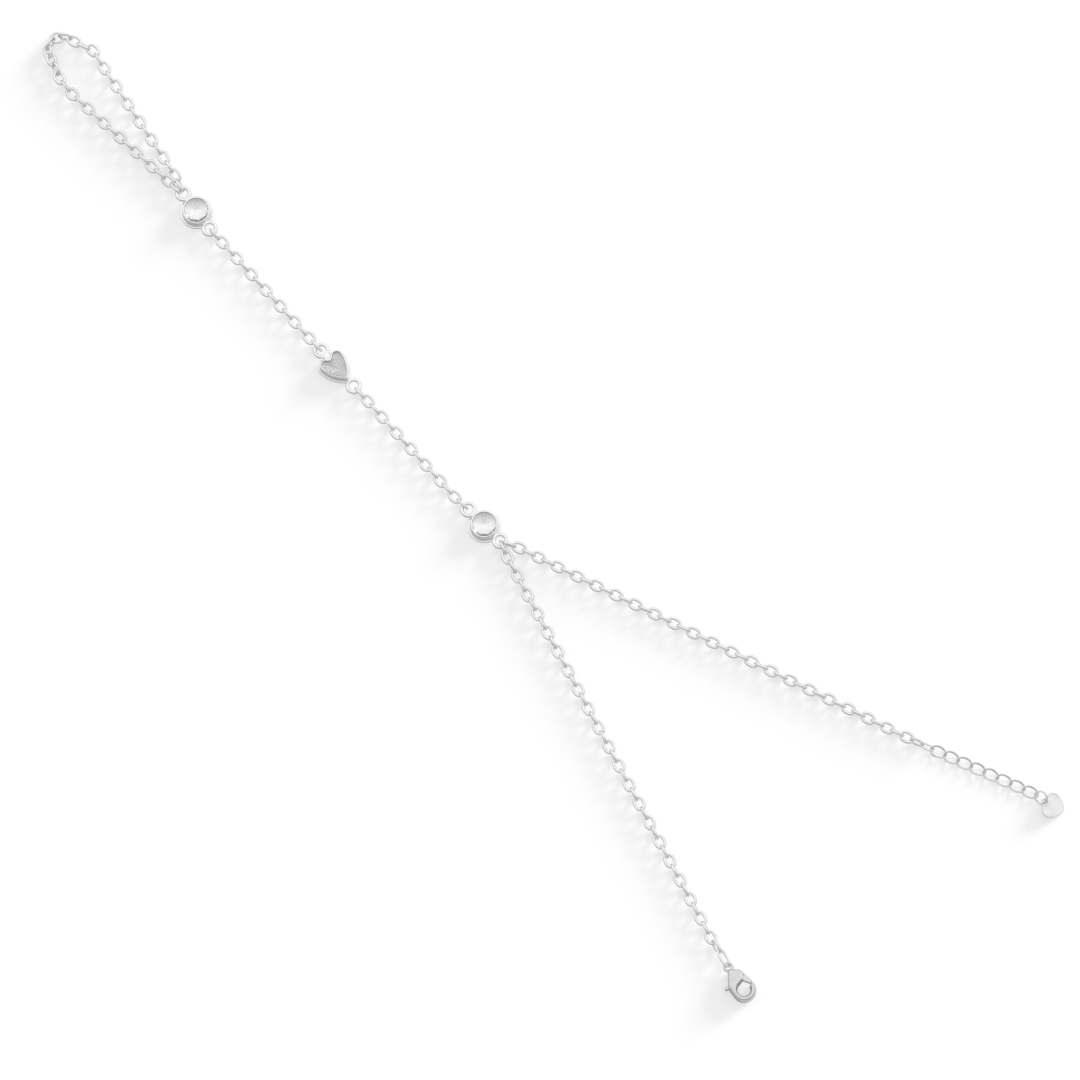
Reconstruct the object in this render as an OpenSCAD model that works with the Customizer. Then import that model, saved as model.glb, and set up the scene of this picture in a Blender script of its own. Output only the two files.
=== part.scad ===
// Hand chain laid out flat: a finger loop of fine cable chain, a round stone, a heart stone and
// a second round stone on one line along the hand, then two arms that close round the wrist,
// one with a lobster clasp and one with an extender and a heart tag.
// +Z is up and z = 0 is the surface that it lies on. +Y runs from the wrist to the finger.
// Seen from above with +Y up, the clasp arm is on the left and the extender arm on the right.

/* [Cable chain] */
// Width of a link, which is also how high the laid chain stands
chain_w = 2.3; // [2.0:0.1:2.4]
// Chain between two settings, from eye centre to eye centre
run_l = 30.6; // [26:0.1:36]

/* [Round settings] */
// Diameter of the base of a round setting
bezel_d = 6.0; // [5.6:0.1:6.4]
// Height of the bezel's rim above the surface
bezel_h = 2.25; // [2.1:0.05:2.4]
// Diameter of the stone that shows inside the rim
stone_show_d = 4.4; // [4.2:0.1:4.6]
// Turn of the finger setting from the line of the hand
finger_turn = -5.5; // [-10:0.5:10]
// Turn of the wrist setting from the line of the hand
wrist_turn = 2.8; // [-10:0.2:10]

/* [Heart setting] */
// Length of the heart from the lobes to the tip
heart_l = 6.5; // [6.0:0.1:7.0]
// Width of the heart across the lobes
heart_w = 5.75; // [5.4:0.05:6.2]

/* [Eyes] */
// Outer diameter of the soldered eyes
eye_d = 3.0; // [2.8:0.1:3.1]
// Wire diameter of the soldered eyes
eye_wire = 0.68; // [0.6:0.02:0.72]

/* [Rings] */
// Outer diameter of the jump ring at the end of the finger loop
finger_ring_d = 2.75; // [2.6:0.05:2.9]
// Outer diameter of the ring that carries the heart tag
tag_ring_d = 2.7; // [2.6:0.02:2.74]
// Wire diameter of both jump rings
ring_wire = 0.40; // [0.34:0.02:0.42]

/* [Clasp] */
// Thickness of the lobster clasp
clasp_t = 2.4; // [2.2:0.1:2.6]
// Turn of the clasp on the surface
clasp_turn = -42; // [-43:0.5:-41]
// Radius of the pin that the lever turns on
pin_r = 0.26; // [0.22:0.01:0.28]

/* [Extender and tag] */
// Width of a link of the extender
extender_w = 2.3; // [2.1:0.1:2.4]
// Height of the laid extender
extender_h = 1.1; // [0.9:0.1:1.3]
// Length of the heart tag from the lobes to the tip
tag_l = 3.9; // [3.7:0.1:4.0]
// Width of the heart tag
tag_w = 4.8; // [4.5:0.1:4.9]
// Thickness of the heart tag
tag_t = 0.36; // [0.30:0.02:0.38]

/* [Hidden] */
$fn = 64;

// Colours of the plated metal, the small parts and the stones
silver = [0.86, 0.86, 0.87];
silver_dark = [0.76, 0.77, 0.79];
clear = [0.90, 0.94, 0.97, 0.8];

// Middle of the laid-out piece, measured from the wrist setting, which becomes the origin
mid_x = 9.64;
mid_y = 6.09;

// Sides of a swept chain, and how far apart its rings may lie
sides = 8;
ring_step = 6.6;

// A chain stops short of the eye by this much, because one link of it lies in the eye
eye_stop = 1.8;

// Heights inside a setting: the step over the base, the stone's girdle, its table and its point
step_z = 0.46;
girdle_z = bezel_h - 0.47;
girdle_h = 0.10;
table_z = bezel_h + 0.20;
culet_z = 0.12;
culet_r = 0.05;

// Walls of a setting: rounded edge, step inwards, rim beside the stone, groove for the girdle,
// radius of the open back and height where the seat meets it, and the gap round the stone
edge = 0.10;
step_in = 0.14;
rim_wall = 0.30;
groove = 0.16;
back_r = 1.5;
seat_z = 0.95;
seat_gap = 0.06;
table_share = 0.58;

// Heart setting: how far the rim leans in, and how far in lie the groove, the stone and its table
heart_rim_in = 0.50;
heart_groove_in = 0.66;
heart_stone_in = 0.74;
heart_table_in = 1.35;
heart_back_in = 1.60;
heart_point_in = 1.95;
heart_point_z = 0.70;

// Solder between the heart and each of its eyes
solder_size = [0.9, 0.8, 0.64];

// Places along the line of the hand, measured from the middle of the wrist setting
eye_reach = bezel_d / 2 + 1.05;
heart_reach = heart_l / 2 + 1.15;
eye_z = 1.15;
heart_x = -0.4;
heart_y = eye_reach + run_l + heart_reach;
heart_top_y = heart_y + heart_reach;
heart_tip_y = heart_y - heart_reach;
finger_y = heart_top_y + run_l + eye_reach;
loop_y = finger_y + eye_reach;

// Jump ring at the end of the finger loop: its place, how it leans and which way, and its gap
finger_ring_at = [2.72, loop_y + 37.1, 0.80];
finger_ring_turn = -42;
finger_ring_lean = -28;
finger_gap_turn = 55;
ring_gap = 12;

// Routes of the chains. Each row is x, y and the share of the chain's width there: beside an eye
// only the edge of a standing link shows, so the chain is narrow there.
finger_left_route = [
    [0.20, loop_y + eye_stop, 0.3], [-0.10, loop_y + 4.0, 0.5], [-0.80, loop_y + 11.9, 1],
    [-1.60, loop_y + 19.6, 1], [-2.30, loop_y + 27.7, 1], [-2.05, loop_y + 31.1, 1],
    [-1.35, loop_y + 32.9, 1], [-0.75, loop_y + 34.5, 1], [-0.10, loop_y + 36.0, 0.8],
    [0.80, loop_y + 36.8, 0.4]
];
finger_right_route = [
    [1.00, loop_y + eye_stop, 0.3], [1.60, loop_y + 3.5, 0.5], [2.90, loop_y + 11.4, 1],
    [4.00, loop_y + 19.3, 1], [5.30, loop_y + 27.2, 1], [5.90, loop_y + 30.4, 1],
    [5.60, loop_y + 32.6, 1], [4.90, loop_y + 34.4, 0.8], [4.15, loop_y + 35.8, 0.4]
];
upper_route = [
    [-0.40, finger_y - eye_reach - eye_stop, 0.35], [-0.40, finger_y - eye_reach - 3.5, 1],
    [-0.40, heart_top_y + 3.5, 1], [-0.40, heart_top_y + eye_stop, 0.35]
];
lower_route = [
    [-0.40, heart_tip_y - eye_stop, 0.35], [-0.40, heart_tip_y - 3.5, 1],
    [-0.35, eye_reach + 3.5, 1], [-0.25, eye_reach + eye_stop, 0.35]
];
clasp_route = [
    [-0.35, -eye_reach - eye_stop, 0.4], [-0.85, -eye_reach - 3.3, 1], [-20.10, -83.1, 1],
    [-20.50, -84.9, 0.3]
];
extender_arm_route = [
    [1.05, -eye_reach - eye_stop, 0.4], [1.90, -eye_reach - 3.3, 1], [30.47, -79.5, 1],
    [31.40, -81.8, 0.3]
];
extender_route = [
    [32.60, -84.6, 0.35], [33.05, -85.6, 1], [39.80, -100.8, 1], [40.25, -101.8, 0.5]
];

// Oval link between the clasp's eye and its chain: size, wire, heading on the surface and roll
oval_l = 3.9;
oval_w = 2.0;
oval_wire = 0.42;
oval_turn = -12.9;
oval_roll = 52;
oval_slack = 0.16;

// Small link between the extender arm and the extender
join_at = [32.01, -83.2, 0.95];
join_l = 2.5;
join_w = 1.9;
join_wire = 0.40;
join_turn = 21.8;
join_roll = 55;

// Clasp, drawn with the middle of its hook near the origin and its eye to the upper left:
// the round hook, its hole, the shoulder over the pivot and the rounded corner by the eye
clasp_at = [-21.84, -94.14];
hook_at = [-0.16, -0.22];
hook_r = 2.14;
hole_at = [0.02, 0.05];
hole_r = 1.03;
shoulder_at = [-1.45, 2.35];
shoulder_r = 1.2;
back_x = -3.08;
top_y = 3.55;
corner_r = 0.5;
flank = [
    [back_x, top_y - corner_r], [back_x, 0.28], [-2.62, -0.55], [-2.1, -1.25], [-0.6, -0.6],
    [-0.40, 1.48], [-0.30, 2.88], [-0.60, 3.2], [shoulder_at.x, top_y], [back_x + corner_r, top_y]
];

// The clasp's own eye
clasp_eye_at = [-3.0, 4.02];
clasp_eye_r = 0.70;
clasp_eye_wire = 0.44;

// Lever: its pivot and hub, its thickness and gaps, the reach of its gate and its thumb nub
pivot_at = [-0.95, 1.95];
hub_r = 0.62;
pin_gap = 0.04;
lever_t = 1.10;
lever_gap = 0.10;
gate_r = 2.24;
gate_gap = 0.06;
thumb_at = [-3.33, 0.04];
thumb_r = 0.33;
cheek_cover = 0.20;

// Corners of the gate and of the arm that leads to the nub
gate = [[-0.75, 1.40], [-0.36, 1.48], [0.62, 1.10], [1.3, 0.80], [1.7, 1.05], [-0.02, 2.58], [-0.60, 2.50]];
arm = [thumb_at + [-0.2, 0.24], thumb_at + [0.25, -0.20], pivot_at + [0.26, -0.54], pivot_at + [-0.48, 0.38]];

// Corners of the clasp's mouth, and of the space that the gate and the arm sweep inside it
mouth = [[-0.28, 3.4], [-0.42, 1.4], [-0.6, 0.6], [0.6, -0.3], [1.4, 0.2], [2.4, 1.6], [1.5, 3.4]];
gate_room = [[-0.9, 0.9], [0.6, 0.1], [1.0, 3.0], [-0.72, 2.64]];
arm_room = [[-0.85, 2.55], [-4.2, 2.45], [-4.2, -0.9], [-2.9, -0.62], [-0.65, 1.35]];

// Ring that carries the tag. It leans one way and the tag the other, so that its wire passes
// through the tag's hole from the top side to the back.
tag_ring_at = [40.98, -103.65, 1.02];
tag_ring_turn = 3;
tag_ring_roll = -38;

// Heart tag, drawn with its tip at the origin and its round tab at +y
tag_tip_at = [42.52, -108.20, 0.22];
tag_turn = 25.7;
tag_lift = 10;
tag_roll = 12;
tab_back = 3.70;
tab_r = 0.72;
tab_hole_r = 0.47;

// How a heart is drawn: place of a lobe's middle in shares of the width, and where the arc of
// the side meets the arc of the lobe
lobe_x = 0.226;
lobe_y = 0.274;
lobe_turn = -5;
side_steps = 8;
lobe_steps = 12;

// Moves the wrist setting's frame to the part's own origin
module placed() translate([-mid_x, -mid_y, 0]) children();

// Unit vector at an angle
function unit(a) = [cos(a), sin(a)];

// Unit vector from one flat point to another
function heading(a, b) = let (d = [b.x - a.x, b.y - a.y]) d / norm(d);

// Route with rows added so that no two lie further apart than ring_step
function filled(route) = [
    for (i = [0:len(route) - 2])
        let (a = route[i], b = route[i + 1], n = ceil(norm([b.x - a.x, b.y - a.y]) / ring_step))
            for (k = [0:n - 1]) a + (b - a) * k / n,
    route[len(route) - 1]
];

// Direction of the chain at one row, halfway between the stretches before and after it
function along(rows, i) = heading(rows[max(i - 1, 0)], rows[min(i + 1, len(rows) - 1)]);

// One ring of corners round a chain of width w and height h, flat side down
function section(row, dir, w, h) = [
    for (k = [0:sides - 1])
        let (
            p = unit(-360 * (k + 0.5) / sides) / cos(180 / sides),
            s = row[2] * w / 2 * p.x
        )
            [row.x + dir.y * s, row.y - dir.x * s, h / 2 * (1 + p.y)]
];

// Triangles between rings of n corners, with both ends closed
function skin(rings, n) = concat(
    [[for (k = [0:n - 1]) k]],
    [
        for (i = [0:rings - 2], k = [0:n - 1], t = [0, 1])
            let (a = i * n + k, b = i * n + (k + 1) % n)
                t == 0 ? [a, a + n, b] : [b, a + n, b + n]
    ],
    [[for (k = [n - 1:-1:0]) (rings - 1) * n + k]]
);

// Fine chain as one swept tube that lies on the surface
module chain(route, w, h) {
    rows = filled(route);
    corners = [for (i = [0:len(rows) - 1]) each section(rows[i], along(rows, i), w, h)];
    polyhedron(corners, skin(len(rows), sides));
}

// Round wire ring, open by gap degrees
module wire_ring(outer_d, wire_d, gap = 0)
    rotate([0, 0, gap / 2])
        rotate_extrude(angle = 360 - gap)
            translate([(outer_d - wire_d) / 2, 0])
                circle(d = wire_d);

// Half of a wire ring, for the ends of an oval link
module half_ring(outer_d, wire_d)
    rotate_extrude(angle = 180)
        translate([(outer_d - wire_d) / 2, 0])
            circle(d = wire_d);

// Straight-sided oval link along y
module oval(l, w, wire_d) {
    straight = (l - w) / 2;
    translate([0, straight, 0]) half_ring(w, wire_d);
    translate([0, -straight, 0]) rotate([0, 0, 180]) half_ring(w, wire_d);
    for (side = [-1, 1])
        translate([side * (w - wire_d) / 2, 0, 0])
            rotate([90, 0, 0])
                cylinder(d = wire_d, h = 2 * straight, center = true);
}

// Side view of a round bezel, turned into a cup that is open at the back
module bezel() {
    base_r = bezel_d / 2;
    show_r = stone_show_d / 2;
    rim_r = show_r + rim_wall;
    groove_r = show_r + groove;
    rotate_extrude()
        polygon([
            [back_r, 0], [base_r - edge, 0], [base_r, edge], [base_r, step_z - edge / 2],
            [base_r - step_in, step_z], [rim_r, bezel_h - 2 * edge], [rim_r - edge, bezel_h - edge / 2],
            [show_r + edge, bezel_h], [show_r, bezel_h - edge], [groove_r, girdle_z + girdle_h + seat_gap],
            [groove_r, girdle_z - seat_gap], [back_r, seat_z]
        ]);
}

// Round stone with a flat table, sloping crown and cone below
module round_stone() {
    r = stone_show_d / 2 + groove - seat_gap;
    crown_z = girdle_z + girdle_h;
    translate([0, 0, crown_z]) cylinder(r1 = r, r2 = r * table_share, h = table_z - crown_z);
    translate([0, 0, girdle_z]) cylinder(r = r, h = girdle_h);
    translate([0, 0, culet_z]) cylinder(r1 = culet_r, r2 = r, h = girdle_z - culet_z);
}

// Soldered eye beside a setting
module eye(reach) translate([0, reach, eye_z]) wire_ring(eye_d, eye_wire);

module round_setting() {
    bezel();
    eye(eye_reach);
    eye(-eye_reach);
}

// Half of a heart outline, lobes at +y: the side's arc from the tip, then the lobe's arc that it
// is tangent to, as far as the notch
function heart_half(l, w) = let (
        lobe = [w * lobe_x, l / 2 - w * lobe_y],
        r = w / 2 - lobe.x,
        tip = [0, -l / 2],
        v = tip - lobe,
        n = unit(lobe_turn),
        side_r = (v * v - 2 * r * (v * n) + r * r) / (2 * r - 2 * (v * n)),
        mid = lobe - (side_r - r) * n,
        tip_turn = atan2(tip.y - mid.y, tip.x - mid.x),
        notch_turn = acos(-lobe.x / r)
    ) concat(
        [
            for (k = [0:side_steps - 1])
                mid + side_r * unit(tip_turn + (lobe_turn - tip_turn) * k / side_steps)
        ],
        [
            for (k = [0:lobe_steps])
                lobe + r * unit(lobe_turn + (notch_turn - lobe_turn) * k / lobe_steps)
        ]
    );

// Whole heart outline, drawn smaller all round by inset, with more taken off at the tip
function heart(l, w, inset) = let (
        half = heart_half(l - 2.5 * inset, w - 2 * inset),
        n = len(half)
    ) [for (p = concat(half, [for (k = [n - 2:-1:1]) [-half[k].x, half[k].y]])) p + [0, 0.25 * inset]];

// Solid through stacked hearts. Each row is an inset and a height.
module heart_stack(l, w, rows) {
    n = len(heart(l, w, 0));
    corners = [for (row = rows) each [for (p = heart(l, w, row[0])) [p.x, p.y, row[1]]]];
    polyhedron(corners, skin(len(rows), n));
}

// Heart bezel: its outside, and the room for the stone with the open back
module heart_cup() difference() {
    heart_stack(heart_l, heart_w, [
        [edge, 0], [0, edge], [0, step_z - edge / 2], [step_in, step_z],
        [heart_rim_in - edge, bezel_h - edge], [heart_rim_in, bezel_h]
    ]);
    heart_stack(heart_l, heart_w, [
        [heart_back_in, -1], [heart_back_in, seat_z], [heart_groove_in, girdle_z - seat_gap],
        [heart_groove_in, bezel_h + 1]
    ]);
}

// Small blocks of solder that join the eyes to the heart's notch and tip
module solder()
    for (side = [-1, 1])
        translate([0, side * (heart_l - solder_size.y) / 2, eye_z])
            cube(solder_size, center = true);

// Clasp outline without its lever
module clasp_outline() difference() {
    union() {
        translate(hook_at) circle(r = hook_r);
        translate(shoulder_at) circle(r = shoulder_r);
        translate([back_x + corner_r, top_y - corner_r]) circle(r = corner_r);
        polygon(flank);
    }
    translate(hole_at) circle(r = hole_r);
    intersection() {
        polygon(mouth);
        translate(pivot_at) circle(r = gate_r + gate_gap);
    }
}

// Space that the lever needs inside the body, through its whole travel
module lever_room() {
    translate(pivot_at) circle(r = hub_r + lever_gap);
    polygon(gate_room);
    polygon(arm_room);
}

// Outline of the lever: hub, gate to the hook's tip and arm to the thumb nub
module lever_outline() {
    translate(pivot_at) circle(r = hub_r);
    intersection() {
        polygon(gate);
        translate(pivot_at) circle(r = gate_r);
    }
    polygon(arm);
    translate(thumb_at) circle(r = thumb_r);
}

module clasp_placed()
    placed()
        translate([clasp_at.x, clasp_at.y, 0])
            rotate([0, 0, clasp_turn])
                children();

module finger_ring() color(silver)
    placed()
        translate(finger_ring_at)
            rotate([0, 0, finger_ring_turn])
                rotate([finger_ring_lean, 0, 0])
                    rotate([0, 0, finger_gap_turn])
                        wire_ring(finger_ring_d, ring_wire, ring_gap);

module finger_chain_left() color(silver) placed() chain(finger_left_route, chain_w, chain_w);

module finger_chain_right() color(silver) placed() chain(finger_right_route, chain_w, chain_w);

module finger_place() placed() translate([0, finger_y, 0]) rotate([0, 0, finger_turn]) children();

module finger_setting() color(silver) finger_place() round_setting();

module finger_stone() color(clear) finger_place() round_stone();

module hand_chain_upper() color(silver) placed() chain(upper_route, chain_w, chain_w);

module heart_setting() color(silver)
    placed()
        translate([heart_x, heart_y, 0]) {
            heart_cup();
            solder();
            eye(heart_reach);
            eye(-heart_reach);
        }

module heart_stone() color(clear)
    placed()
        translate([heart_x, heart_y, 0])
            heart_stack(heart_l, heart_w, [
                [heart_point_in, heart_point_z], [heart_stone_in, girdle_z],
                [heart_stone_in, girdle_z + girdle_h], [heart_table_in, table_z]
            ]);

module hand_chain_lower() color(silver) placed() chain(lower_route, chain_w, chain_w);

module wrist_setting() color(silver) placed() rotate([0, 0, wrist_turn]) round_setting();

module wrist_stone() color(clear) placed() rotate([0, 0, wrist_turn]) round_stone();

module clasp_chain() color(silver) placed() chain(clasp_route, chain_w, chain_w);

// The oval link hangs in the clasp's eye, pulled towards the chain
module clasp_link() color(silver)
    clasp_placed()
        translate([clasp_eye_at.x, clasp_eye_at.y, clasp_t / 2])
            rotate([0, 0, oval_turn - clasp_turn])
                translate([0, (oval_l - oval_wire) / 2 + oval_slack, 0])
                    rotate([0, oval_roll, 0])
                        oval(oval_l, oval_w, oval_wire);

// Body with its slot, its pin through both cheeks, and its eye
module clasp_body() color(silver_dark)
    clasp_placed() {
        difference() {
            linear_extrude(clasp_t) clasp_outline();
            translate([0, 0, (clasp_t - lever_t) / 2 - lever_gap])
                linear_extrude(lever_t + 2 * lever_gap)
                    lever_room();
        }
        translate([pivot_at.x, pivot_at.y, cheek_cover])
            cylinder(r = pin_r, h = clasp_t - 2 * cheek_cover);
        translate([clasp_eye_at.x, clasp_eye_at.y, clasp_t / 2])
            wire_ring(2 * clasp_eye_r + clasp_eye_wire, clasp_eye_wire);
    }

module clasp_lever() color(silver)
    clasp_placed()
        translate([0, 0, (clasp_t - lever_t) / 2])
            difference() {
                linear_extrude(lever_t) lever_outline();
                translate([pivot_at.x, pivot_at.y, -1]) cylinder(r = pin_r + pin_gap, h = lever_t + 2);
            }

module extender_arm_chain() color(silver) placed() chain(extender_arm_route, chain_w, chain_w);

module extender_link() color(silver)
    placed()
        translate(join_at)
            rotate([0, 0, join_turn])
                rotate([0, join_roll, 0])
                    oval(join_l, join_w, join_wire);

module extender_chain() color(silver_dark) placed() chain(extender_route, extender_w, extender_h);

module tag_ring() color(silver)
    placed()
        translate(tag_ring_at)
            rotate([0, 0, tag_ring_turn])
                rotate([0, tag_ring_roll, 0])
                    rotate([0, 0, 180])
                        wire_ring(tag_ring_d, ring_wire, ring_gap);

// The tag lies on its tip and one lobe, with its tab raised by the ring
module heart_tag() color(silver)
    placed()
        translate(tag_tip_at)
            rotate([0, 0, tag_turn])
                rotate([tag_lift, tag_roll, 0])
                    difference() {
                        linear_extrude(tag_t) {
                            translate([0, tag_l / 2]) polygon(heart(tag_l, tag_w, 0));
                            translate([0, tab_back]) circle(r = tab_r);
                        }
                        translate([0, tab_back, -1]) cylinder(r = tab_hole_r, h = tag_t + 2);
                    }

finger_ring();
finger_chain_left();
finger_chain_right();
finger_setting();
finger_stone();
hand_chain_upper();
heart_setting();
heart_stone();
hand_chain_lower();
wrist_setting();
wrist_stone();
clasp_chain();
clasp_link();
clasp_body();
clasp_lever();
extender_arm_chain();
extender_link();
extender_chain();
tag_ring();
heart_tag();
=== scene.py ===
# Hand chain laid flat on a pale table: a finger loop, three settings on one line along the hand,
# and two arms of fine cable chain, one with a lobster clasp and one with an extender and a tag.
import math

import bpy
import numpy as np
from mathutils import Matrix, Vector


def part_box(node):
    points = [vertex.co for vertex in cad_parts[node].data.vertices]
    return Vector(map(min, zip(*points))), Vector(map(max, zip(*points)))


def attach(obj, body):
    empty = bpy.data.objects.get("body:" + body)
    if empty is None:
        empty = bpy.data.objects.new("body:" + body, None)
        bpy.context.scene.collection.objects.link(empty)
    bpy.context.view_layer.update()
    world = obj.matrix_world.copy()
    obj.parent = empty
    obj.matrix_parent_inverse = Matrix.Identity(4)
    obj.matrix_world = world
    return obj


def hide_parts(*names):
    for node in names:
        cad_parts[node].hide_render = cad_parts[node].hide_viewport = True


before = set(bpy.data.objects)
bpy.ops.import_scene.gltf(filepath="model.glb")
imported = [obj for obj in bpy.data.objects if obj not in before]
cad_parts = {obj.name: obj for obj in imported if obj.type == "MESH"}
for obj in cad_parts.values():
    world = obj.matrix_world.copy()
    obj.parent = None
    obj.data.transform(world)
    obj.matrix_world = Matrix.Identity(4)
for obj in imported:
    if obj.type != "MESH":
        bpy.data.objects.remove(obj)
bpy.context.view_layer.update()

# Lengths are in millimetres and places are measured from the middle of the wrist setting, with y
# running along the hand to the finger, until a piece is made, which turns them into metres.
MM = 0.001
UP = np.array((0.0, 0.0, 1.0))

# A laid link is never quite straight: the seed of the draws, and the degrees that a cable link's
# roll and an extender link's turn may be off
SEED = 11
CABLE_PLAY = 4
CURB_PLAY = 2
chance = np.random.default_rng(SEED)

# How the photograph looks at the table: the way its top faces, in degrees from +x, the camera's
# lean off the vertical, its distance and lens, and the place in the middle of the picture
PHOTO_TURN = 48.1
CAMERA_TILT = 12
CAMERA_AWAY = 2000
CAMERA_LENS = 370.4
LOOK_AT = (5.83, -8.53)

# Cable chain: size of a link, its wire at the ends and along the sides, its thickness, the height
# at which the chain's middle lies, and how full a link is at the shoulders
LINK_L = 2.87
LINK_W = 2.22
LINK_END = 0.43
LINK_SIDE = 0.58
LINK_T = 0.52
CHAIN_Z = 1.15
LINK_SQUARE = 2.2
# Rolls of a link that lies flat and of one that stands on its edge
FLAT = 0
STANDING = 90

# How finely wire, links and rings are drawn
WIRE_SIDES = 12
LINK_STEPS = 40
RING_STEPS = 64

# Eyes soldered to the settings, how far they are from the middle, and the round settings' turns
EYE_R = 1.16
EYE_WIRE_R = 0.34
EYE_Z = 1.15
EYE_REACH = 4.05
HEART_EYE_REACH = 4.4
FINGER_TURN = -5.5
WRIST_TURN = 2.8


def unit(v):
    """Vectors made one long."""
    v = np.asarray(v, float)
    return v / np.linalg.norm(v, axis=-1, keepdims=True)


def turned(x, y, angle):
    """A flat point turned about the origin by an angle in degrees."""
    c, s = math.cos(math.radians(angle)), math.sin(math.radians(angle))
    return np.array((c * x - s * y, s * x + c * y))


def middle(node):
    """Middle of a CAD node in the frame, in millimetres, on the table."""
    low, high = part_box(node)
    return np.array(((low.x + high.x) / 2, (low.y + high.y) / 2, 0)) / MM


ORIGIN = middle("wrist_stone")
FINGER_AT = (middle("finger_stone") - ORIGIN)[:2]
HEART_AT = (middle("heart_stone") - ORIGIN)[:2]
WRIST_AT = np.zeros(2)

# Directions in the photograph, seen on the table, and the way that the laid chain leans
photo_up = np.append(turned(1, 0, PHOTO_TURN), 0)
photo_right = np.append(turned(1, 0, PHOTO_TURN - 90), 0)
tilt = math.radians(CAMERA_TILT)
camera_up = photo_up * math.cos(tilt) + UP * math.sin(tilt)
camera_back = UP * math.cos(tilt) - photo_up * math.sin(tilt)
LEAN = camera_back


# Meshes

# A face looks down when its normal's z is below this
DOWNWARD = -0.1


def add_piece(name, mesh, material, body="hand_chain", smooth=True, back=None):
    """Makes one piece from corners in millimetres and faces. It rides on its body and stands for
    the CAD node of the same name. A back material covers the faces that look down."""
    corners, faces = mesh
    data = bpy.data.meshes.new(name)
    data.from_pydata(((np.asarray(corners) + ORIGIN) * MM).tolist(), [], faces)
    data.validate()
    data.polygons.foreach_set("use_smooth", [smooth] * len(data.polygons))
    data.materials.append(material)
    if back:
        data.materials.append(back)
        for face in data.polygons:
            face.material_index = int(face.normal.z < DOWNWARD)
    piece = bpy.data.objects.new("made_" + name, data)
    bpy.context.scene.collection.objects.link(piece)
    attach(piece, body)
    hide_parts(name)


def joined(meshes):
    """Several meshes as one."""
    corners, faces, count = [], [], 0
    for c, f in meshes:
        corners.append(c)
        faces += [[k + count for k in face] for face in f]
        count += len(c)
    return np.concatenate(corners), faces


def wire(path, wide, thick=None, closed=True, lean=0.0):
    """Wire along a path that runs roughly flat, with its ends cut square. It is wide across the
    path and thick upwards, both as radii, and round if only one is given. A lean in degrees tips
    its upper face towards the inside of a link."""
    path = np.asarray(path, float)
    n, sides = len(path), WIRE_SIDES
    wide = np.broadcast_to(wide, n)[:, None, None]
    thick = wide if thick is None else np.broadcast_to(thick, n)[:, None, None]
    if closed:
        along = unit(np.roll(path, -1, 0) - np.roll(path, 1, 0))
    else:
        along = unit(np.gradient(path, axis=0))
    side = unit(np.cross(along, UP))
    over = np.cross(side, along)
    c, s = math.cos(math.radians(lean)), math.sin(math.radians(lean))
    side, over = c * side - s * over, c * over + s * side
    a = (np.arange(sides) * math.tau / sides)[:, None]
    ring = np.cos(a) * side[:, None] * wide + np.sin(a) * over[:, None] * thick
    corners = (path[:, None] + ring).reshape(-1, 3)
    i, k = np.meshgrid(np.arange(n if closed else n - 1), np.arange(sides), indexing="ij")
    i, k = i.ravel(), k.ravel()
    j, m = (i + 1) % n, (k + 1) % sides
    faces = np.stack((i * sides + k, j * sides + k, j * sides + m, i * sides + m), 1).tolist()
    if not closed:
        faces.append(list(range(sides)))
        faces.append([(n - 1) * sides + k for k in range(sides - 1, -1, -1)])
    return corners, faces


def oval(length, width, end_wire, side_wire=None, thick=None, square=2.0, twist=0.0, lean=0.0):
    """Closed link along y. Its wire may be wider along the sides than at the ends. A square of 2
    is an ellipse, and more is fuller at the shoulders. The twist raises and lowers its four
    quarters in turn, as in a curb chain, and the lean tips its wire."""
    side_wire = side_wire or end_wire
    thick = thick or end_wire
    a = np.arange(LINK_STEPS) * math.tau / LINK_STEPS
    power = 2 / square
    x = np.sign(np.sin(a)) * np.abs(np.sin(a)) ** power * (width - side_wire) / 2
    y = np.sign(np.cos(a)) * np.abs(np.cos(a)) ** power * (length - end_wire) / 2
    wide = end_wire / 2 + (side_wire - end_wire) / 2 * np.sin(a) ** 2
    return wire(np.stack((x, y, twist * np.sin(2 * a)), 1), wide, thick / 2, lean=lean)


def open_ring(outer_d, wire_d, gap):
    """Jump ring with a cut that is gap degrees wide, at angle 0."""
    a = np.radians(np.linspace(gap / 2, 360 - gap / 2, RING_STEPS))
    r = (outer_d - wire_d) / 2
    return wire(np.stack((r * np.cos(a), r * np.sin(a), 0 * a), 1), wire_d / 2, closed=False)


def moved(mesh, centre, *turns):
    """A mesh turned about its own middle, by (axis, degrees) with the first turn done last, and
    set down at its centre."""
    matrix = Matrix.Identity(3)
    for axis, angle in turns:
        matrix = matrix @ Matrix.Rotation(math.radians(angle), 3, axis)
    return np.asarray(mesh[0]) @ np.array(matrix).T + np.asarray(centre), mesh[1]


# Cable chain

LINK = oval(LINK_L, LINK_W, LINK_END, LINK_SIDE, LINK_T, LINK_SQUARE)


def linked(centres, rolls, before, after):
    """Links at their centres, each heading from the one before it to the one after it, and
    rolled about that line. At roll 0 a link lies flat, and at 90 it stands on its edge."""
    centres = np.asarray(centres, float)
    line = np.concatenate(([before], centres, [after]))
    heading = unit(line[2:] - line[:-2])
    meshes = []
    for centre, ahead, roll in zip(centres, heading, rolls):
        stand = unit(LEAN - ahead * (LEAN @ ahead))
        side = np.cross(ahead, stand)
        c, s = math.cos(math.radians(roll)), math.sin(math.radians(roll))
        axes = np.stack((c * side - s * stand, ahead, s * side + c * stand))
        meshes.append((LINK[0] @ axes + centre, LINK[1]))
    return joined(meshes)


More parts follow.
